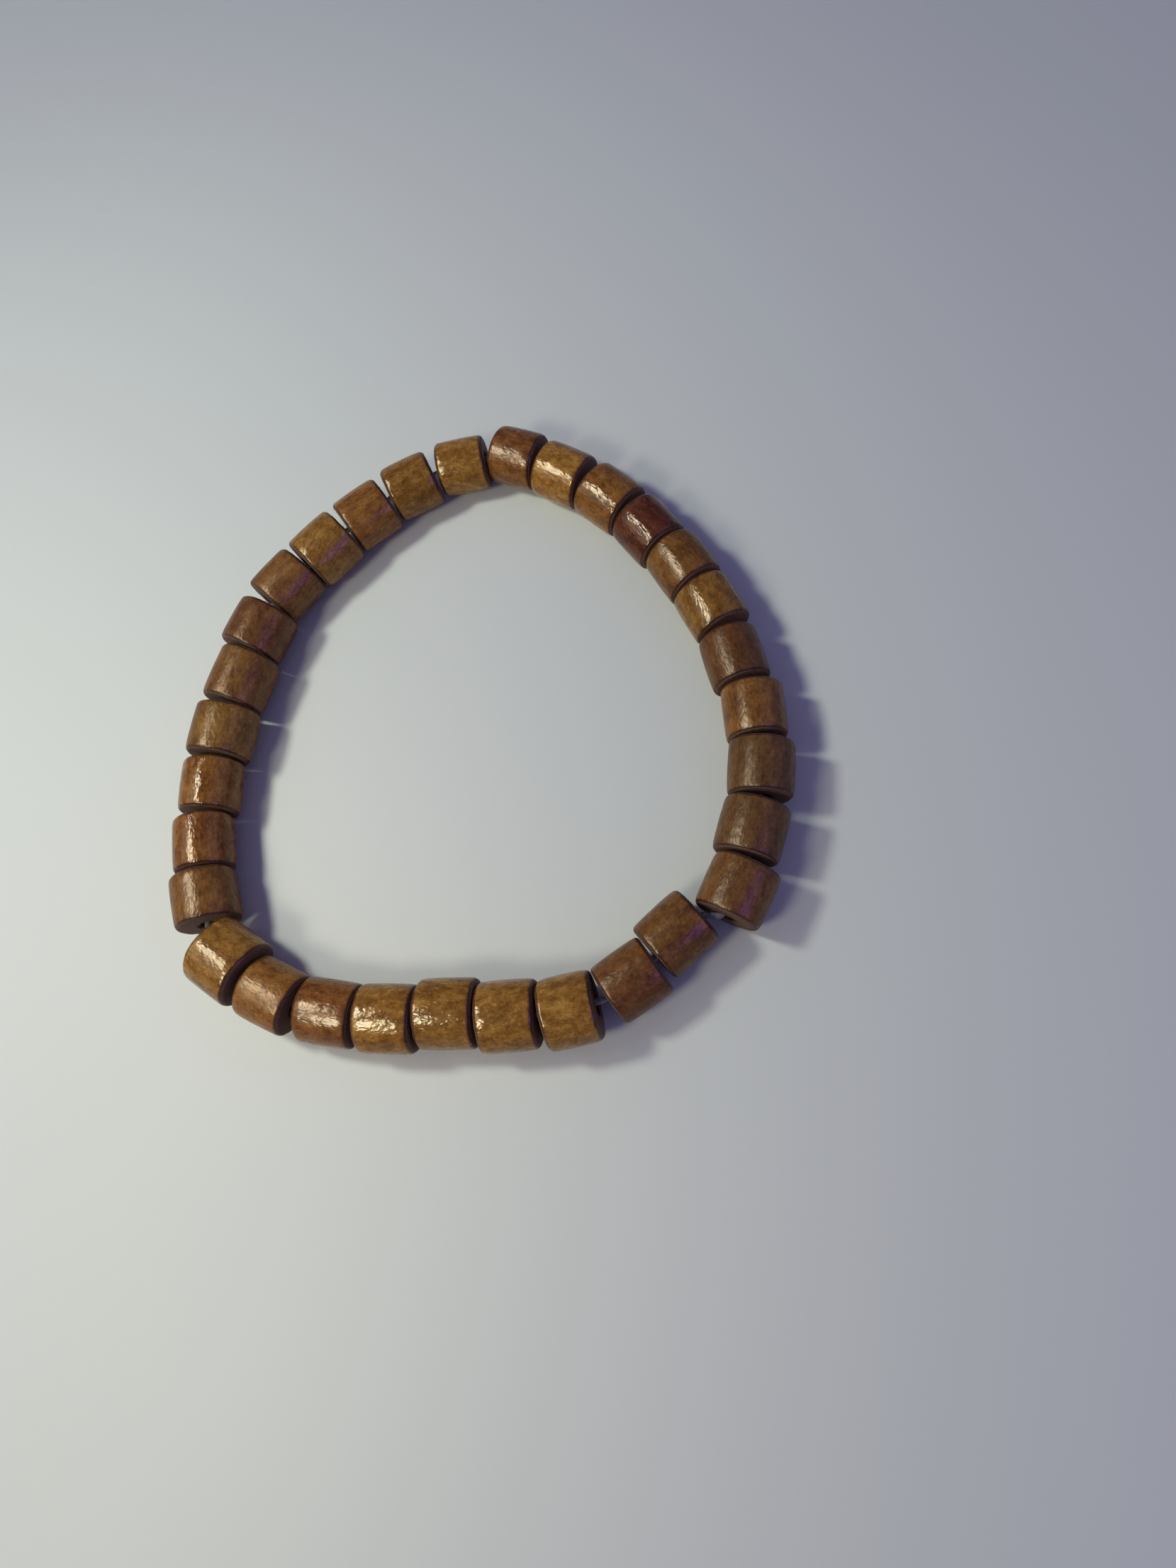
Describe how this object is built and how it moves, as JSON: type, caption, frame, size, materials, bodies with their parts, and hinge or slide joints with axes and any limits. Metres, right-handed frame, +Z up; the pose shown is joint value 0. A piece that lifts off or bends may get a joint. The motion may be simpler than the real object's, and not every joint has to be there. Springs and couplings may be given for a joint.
{
  "type": "wooden bead bracelet",
  "caption": "Stretch bracelet of short cylindrical lacquered wooden beads threaded on a closed loop of clear elastic, lying flat; worn round the wrist.",
  "frame": {"origin": "on the surface that the bracelet lies on, under the middle of its bounding box", "axes": "+Z up from the surface, through the wrist opening; +Y towards the loop's narrow end, where beads 1 and 2 lie; +X to the right of that"},
  "size_m": [0.0794, 0.0854, 0.0091],
  "materials": {
    "wood_golden": "golden brown wood under gloss lacquer",
    "wood_brown": "mid brown wood under gloss lacquer",
    "wood_russet": "reddish brown wood under gloss lacquer",
    "wood_mahogany": "dark red brown wood under gloss lacquer",
    "wood_umber": "dark brown wood under gloss lacquer",
    "clear_elastic": "clear stretch cord, slightly milky"
  },
  "bodies": {
    "root": {"bead_01": "wood_golden", "bead_02": "wood_russet", "bead_03": "wood_golden", "bead_04": "wood_brown", "bead_05": "wood_mahogany", "bead_06": "wood_brown", "bead_07": "wood_golden", "bead_08": "wood_russet", "bead_09": "wood_brown", "bead_10": "wood_umber", "bead_11": "wood_umber", "bead_12": "wood_brown", "bead_13": "wood_brown", "bead_14": "wood_russet", "bead_15": "wood_golden", "bead_16": "wood_golden", "bead_17": "wood_golden", "bead_18": "wood_golden", "bead_19": "wood_russet", "bead_20": "wood_brown", "bead_21": "wood_golden", "bead_22": "wood_brown", "bead_23": "wood_russet", "bead_24": "wood_brown", "bead_25": "wood_golden", "bead_26": "wood_brown", "bead_27": "wood_russet", "bead_28": "wood_brown", "bead_29": "wood_golden", "bead_30": "wood_brown", "bead_31": "wood_golden", "elastic_thread": "clear_elastic"}
  },
  "joints": []
}
